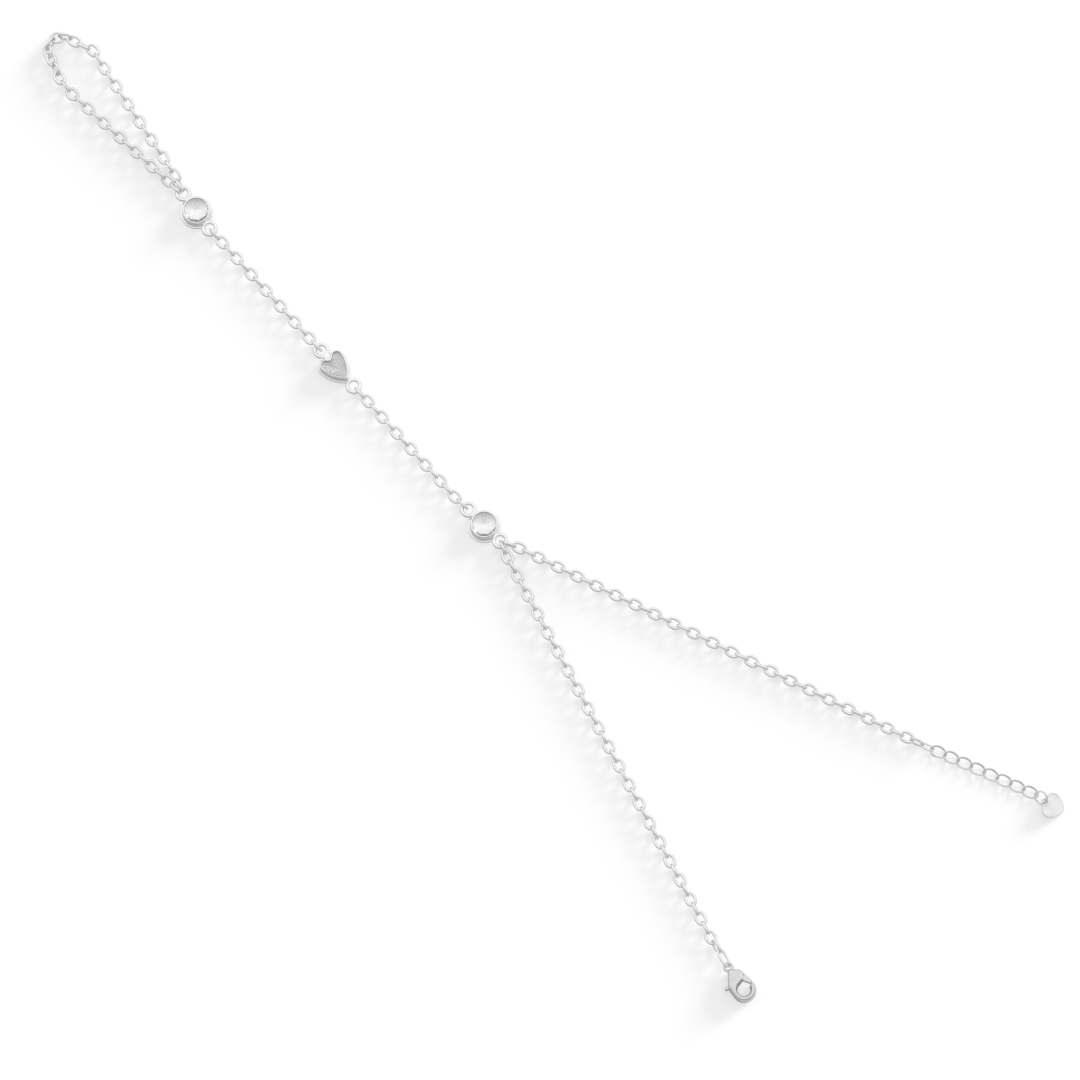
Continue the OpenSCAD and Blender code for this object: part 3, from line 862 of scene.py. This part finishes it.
def polish_group():
    """Polished plating: faint dull patches, and fine marks left by the polishing drum."""
    group, given, put = new_group(
        "drum_polish",
        {
            "Bright": ("NodeSocketColor", (0.9, 0.9, 0.9, 1)),
            "Dull": ("NodeSocketColor", (0.8, 0.8, 0.8, 1)),
            "Shine": ("NodeSocketFloat", 0.15), "Spread": ("NodeSocketFloat", 0.08),
            "Patch Size": ("NodeSocketFloat", 1.0), "Mark Size": ("NodeSocketFloat", 0.08),
        },
        {"Color": "NodeSocketColor", "Roughness": "NodeSocketFloat", "Height": "NodeSocketFloat"},
    )
    place = add_node(group, "ShaderNodeTexCoord").outputs["Object"]
    per_metre = {"operation": "DIVIDE"}
    patch = add_node(group, "ShaderNodeMath", per_metre, i0=1 / MM, i1=given["Patch Size"])
    mark = add_node(group, "ShaderNodeMath", per_metre, i0=1 / MM, i1=given["Mark Size"])
    patches = add_node(group, "ShaderNodeTexNoise", Vector=place, Scale=patch.outputs[0],
                       Detail=PATCH_DETAIL)
    marks = add_node(group, "ShaderNodeTexNoise", Vector=place, Scale=mark.outputs[0],
                     Detail=MARK_DETAIL)
    share = add_node(group, "ShaderNodeMapRange", Value=patches.outputs["Fac"], From_Min=DULL_FROM,
                     From_Max=DULL_TO)
    shade = add_node(group, "ShaderNodeMix", {"data_type": "RGBA"}, Factor=share.outputs[0])
    group.links.new(given["Bright"], shade.inputs[MIX_FIRST])
    group.links.new(given["Dull"], shade.inputs[MIX_SECOND])
    rough = add_node(group, "ShaderNodeMath", {"operation": "MULTIPLY_ADD"}, i0=share.outputs[0],
                     i1=given["Spread"], i2=given["Shine"])
    group.links.new(shade.outputs[MIX_RESULT], put["Color"])
    group.links.new(rough.outputs[0], put["Roughness"])
    group.links.new(marks.outputs["Fac"], put["Height"])
    return group


def silver(name, group, bright, dull, shine, spread, patch, mark, bump):
    """Polished metal with its own tint, shine and depth of marks."""
    material, tree = new_material(name)
    marks = add_node(tree, "ShaderNodeGroup", {"node_tree": group}, Bright=(*bright, 1),
                     Dull=(*dull, 1), Shine=shine, Spread=spread, Patch_Size=patch, Mark_Size=mark)
    relief = add_node(tree, "ShaderNodeBump", Height=marks.outputs["Height"], Strength=1.0,
                      Distance=bump * MM)
    metal = add_node(tree, "ShaderNodeBsdfPrincipled", Base_Color=marks.outputs["Color"], Metallic=1.0,
                     Roughness=marks.outputs["Roughness"], Normal=relief.outputs[0])
    add_node(tree, "ShaderNodeOutputMaterial", Surface=metal.outputs[0])
    return material


# Colourless stone: its tint, its roughness where it was handled, the sizes of these patches and of
# the marks, and how strongly it bends light
STONE_TINT = (0.99, 0.99, 0.99, 1)
STONE_WEAR = 0.03
STONE_PATCH = 1.2
STONE_MARK = 0.3
STONE_IOR = 1.55


def clear_stone(name, group):
    """Colourless cut stone with a trace of handling on its facets."""
    material, tree = new_material(name)
    marks = add_node(tree, "ShaderNodeGroup", {"node_tree": group}, Bright=STONE_TINT, Dull=STONE_TINT,
                     Shine=0.0, Spread=STONE_WEAR, Patch_Size=STONE_PATCH, Mark_Size=STONE_MARK)
    glass = add_node(tree, "ShaderNodeBsdfPrincipled", Base_Color=marks.outputs["Color"], Metallic=0.0,
                     Roughness=marks.outputs["Roughness"])
    glass.inputs["Transmission Weight"].default_value = 1.0
    glass.inputs["IOR"].default_value = STONE_IOR
    add_node(tree, "ShaderNodeOutputMaterial", Surface=glass.outputs[0])
    return material


# Silvers and foils: tint where bright and where dull, roughness, how much more of it in dull
# patches, and in millimetres the sizes of the patches and of the marks, and the marks' depth
SILVERS = {
    "wire_silver": ((0.91, 0.91, 0.915), (0.86, 0.86, 0.87), 0.12, 0.10, 1.2, 0.10, 0.0015),
    "setting_silver": ((0.95, 0.95, 0.955), (0.90, 0.90, 0.91), 0.10, 0.10, 1.5, 0.12, 0.0015),
    "cast_silver": ((0.74, 0.74, 0.75), (0.70, 0.70, 0.71), 0.22, 0.12, 1.6, 0.14, 0.003),
    "thin_silver": ((0.76, 0.76, 0.77), (0.70, 0.70, 0.71), 0.14, 0.10, 1.0, 0.10, 0.0015),
    "tag_silver": ((0.84, 0.84, 0.85), (0.80, 0.80, 0.81), 0.34, 0.10, 0.9, 0.06, 0.004),
    "round_foil": ((0.93, 0.93, 0.93), (0.90, 0.90, 0.90), 0.14, 0.05, 1.0, 0.2, 0.0),
    "heart_foil": ((0.66, 0.66, 0.66), (0.60, 0.60, 0.60), 0.26, 0.08, 1.0, 0.2, 0.0),
}
polish = polish_group()
metals = {name: silver(name, polish, *looks) for name, looks in SILVERS.items()}
stone_clear = clear_stone("stone_clear", polish)


# Pieces

plain_wire = {
    "hand_chain_upper": run(finger_hand_eye, UPPER_STRETCH, heart_top_eye),
    "hand_chain_lower": run(heart_tip_eye, LOWER_STRETCH, wrist_hand_eye),
    "clasp_chain": run(wrist_arm_eye, CLASP_STRETCH, CLASP_LINK_AT[:2], end_roll=CLASP_END_ROLL),
    "extender_arm_chain": run(wrist_arm_eye, EXTENDER_STRETCH, EXTENDER_LINK_AT[:2],
                              EXTENDER_END_REACH, EXTENDER_END_ROLL),
    "finger_chain_left": finger_strand(LEFT_IN_EYE, LEFT_STRETCH, LEFT_TURN, -EYE_SPREAD),
    "finger_chain_right": finger_strand(RIGHT_IN_EYE, RIGHT_STRETCH, RIGHT_TURN, EYE_SPREAD),
    "finger_ring": moved(open_ring(*FINGER_RING_SIZE), FINGER_RING_AT, *FINGER_RING_TURNS),
    "tag_ring": moved(open_ring(*TAG_RING_SIZE), TAG_RING_AT, *TAG_RING_TURNS),
    "clasp_link": moved(oval(*CLASP_LINK_SIZE, square=CLASP_LINK_SQUARE), CLASP_LINK_AT,
                        *CLASP_LINK_TURNS),
    "extender_link": moved(oval(*EXTENDER_LINK_SIZE, square=EXTENDER_LINK_SQUARE),
                           EXTENDER_LINK_AT, *EXTENDER_LINK_TURNS),
}
for name, mesh in plain_wire.items():
    add_piece(name, mesh, metals["wire_silver"])
add_piece("extender_chain", curb_chain(), metals["thin_silver"])

settings = {
    "finger_setting": setting(round_setting_field, FOOT_R, EYE_REACH, FINGER_AT, FINGER_TURN),
    "wrist_setting": setting(round_setting_field, FOOT_R, EYE_REACH, WRIST_AT, WRIST_TURN),
    "heart_setting": setting(heart_setting_field, HEART_W / 2, HEART_EYE_REACH, HEART_AT),
}
for name, mesh in settings.items():
    add_piece(name, mesh, metals["setting_silver"])

stones = {
    "finger_stone": (round_stone(FINGER_AT, FINGER_TURN), "round_foil"),
    "wrist_stone": (round_stone(WRIST_AT, WRIST_TURN), "round_foil"),
    "heart_stone": (heart_stone(), "heart_foil"),
}
for name, (mesh, foil) in stones.items():
    add_piece(name, mesh, stone_clear, smooth=False, back=metals[foil])

add_piece("clasp_body", clasp_part(clasp_body_field), metals["cast_silver"])
add_piece("clasp_lever", clasp_part(clasp_lever_field), metals["cast_silver"],
          body="lever")
add_piece("heart_tag", heart_tag(), metals["tag_silver"])


# Table, light and camera

# Floor, in metres from its middle to its side: its white, its glow, and its white in polished metal, a
# darker grey that is painted shade in the metal's reflections
FLOOR_HALF = 4.0
FLOOR_WHITE = 0.33
FLOOR_GLOW = 0.60
FLOOR_SHADE_IN_METAL = 0.62
# Sky towards the photograph's top and foot, with the directions between which it changes, and the
# share of it that is left low down, with the heights between which it grows
SKY_TOP = 1.30
SKY_FOOT = 0.62
SKY_TURNS = (-0.75, 0.35)
SKY_LOW = 0.66
SKY_HEIGHTS = (0.05, 0.45)
# Sun: strength, height and width in degrees, and its way on the table as shares to the right and up
SUN_POWER = 7.0
SUN_HEIGHT = 12
SUN_WIDTH = 26
SUN_RIGHT = 0.775
SUN_UP = 0.632


def lay_floor():
    """Plain pale light table, which softens the shadows and shows grey in polished metal as a painted
    reflection of shade.
    """
    data = bpy.data.meshes.new("floor")
    h = FLOOR_HALF
    data.from_pydata([(-h, -h, 0), (h, -h, 0), (h, h, 0), (-h, h, 0)], [], [(0, 1, 2, 3)])
    material, tree = new_material("pale_table")
    ray = add_node(tree, "ShaderNodeLightPath")
    white, metal_shade = (FLOOR_WHITE,) * 3 + (1,), (FLOOR_SHADE_IN_METAL,) * 3 + (1,)
    paper = add_node(tree, "ShaderNodeBsdfDiffuse", Color=white)
    glow = add_node(tree, "ShaderNodeEmission", Strength=FLOOR_GLOW)
    table = add_node(tree, "ShaderNodeAddShader", i0=paper.outputs[0], i1=glow.outputs[0])
    # Polished metal sees the table as this darker grey: painted shade in the metal's reflections
    shade_in_metal = add_node(tree, "ShaderNodeBsdfDiffuse", Color=metal_shade)
    both = add_node(tree, "ShaderNodeMixShader", Fac=ray.outputs["Is Glossy Ray"], i1=table.outputs[0],
                    i2=shade_in_metal.outputs[0])
    add_node(tree, "ShaderNodeOutputMaterial", Surface=both.outputs[0])
    data.materials.append(material)
    floor = bpy.data.objects.new("floor", data)
    bpy.context.scene.collection.objects.link(floor)


def light_from():
    """Direction towards the light, which stands to the upper right of the photograph."""
    flat = unit(photo_right * SUN_RIGHT + photo_up * SUN_UP)
    rise = math.radians(SUN_HEIGHT)
    return flat * math.cos(rise) + UP * math.sin(rise)


def hang_light():
    """One wide soft light and a pale sky that is dimmer low down and at the photograph's foot."""
    world = bpy.data.worlds.new("studio")
    bpy.context.scene.world = world
    world.use_nodes = True
    tree = world.node_tree
    tree.nodes.clear()
    way = add_node(tree, "ShaderNodeTexCoord").outputs["Generated"]
    height = add_node(tree, "ShaderNodeSeparateXYZ", Vector=way).outputs["Z"]
    facing = add_node(tree, "ShaderNodeVectorMath", {"operation": "DOT_PRODUCT"}, i0=way)
    facing.inputs[1].default_value = photo_up
    smooth = {"interpolation_type": "SMOOTHSTEP"}
    side = add_node(tree, "ShaderNodeMapRange", smooth, Value=facing.outputs["Value"],
                    From_Min=SKY_TURNS[0], From_Max=SKY_TURNS[1], To_Min=SKY_FOOT, To_Max=SKY_TOP)
    low = add_node(tree, "ShaderNodeMapRange", smooth, Value=height, From_Min=SKY_HEIGHTS[0],
                   From_Max=SKY_HEIGHTS[1], To_Min=SKY_LOW, To_Max=1.0)
    bright = add_node(tree, "ShaderNodeMath", {"operation": "MULTIPLY"}, i0=side.outputs[0],
                      i1=low.outputs[0])
    sky = add_node(tree, "ShaderNodeBackground", Strength=bright.outputs[0])
    add_node(tree, "ShaderNodeOutputWorld", Surface=sky.outputs[0])
    lamp = bpy.data.lights.new("soft_light", "SUN")
    lamp.energy = SUN_POWER
    lamp.angle = math.radians(SUN_WIDTH)
    holder = bpy.data.objects.new("soft_light", lamp)
    holder.visible_glossy = False
    holder.rotation_euler = Vector(light_from()).to_track_quat("Z", "Y").to_euler()
    bpy.context.scene.collection.objects.link(holder)


def set_camera():
    """Long lens almost overhead, as in the photograph."""
    data = bpy.data.cameras.new("camera")
    data.lens = CAMERA_LENS
    camera = bpy.data.objects.new("camera", data)
    bpy.context.scene.collection.objects.link(camera)
    look_at = np.append(LOOK_AT, 0) + ORIGIN
    where = (look_at + camera_back * CAMERA_AWAY) * MM
    camera.matrix_world = Matrix([
        (photo_right[i], camera_up[i], camera_back[i], where[i]) for i in range(3)
    ] + [(0, 0, 0, 1)])
    bpy.context.scene.camera = camera


lay_floor()
hang_light()
set_camera()
bpy.context.scene.view_settings.view_transform = "Standard"
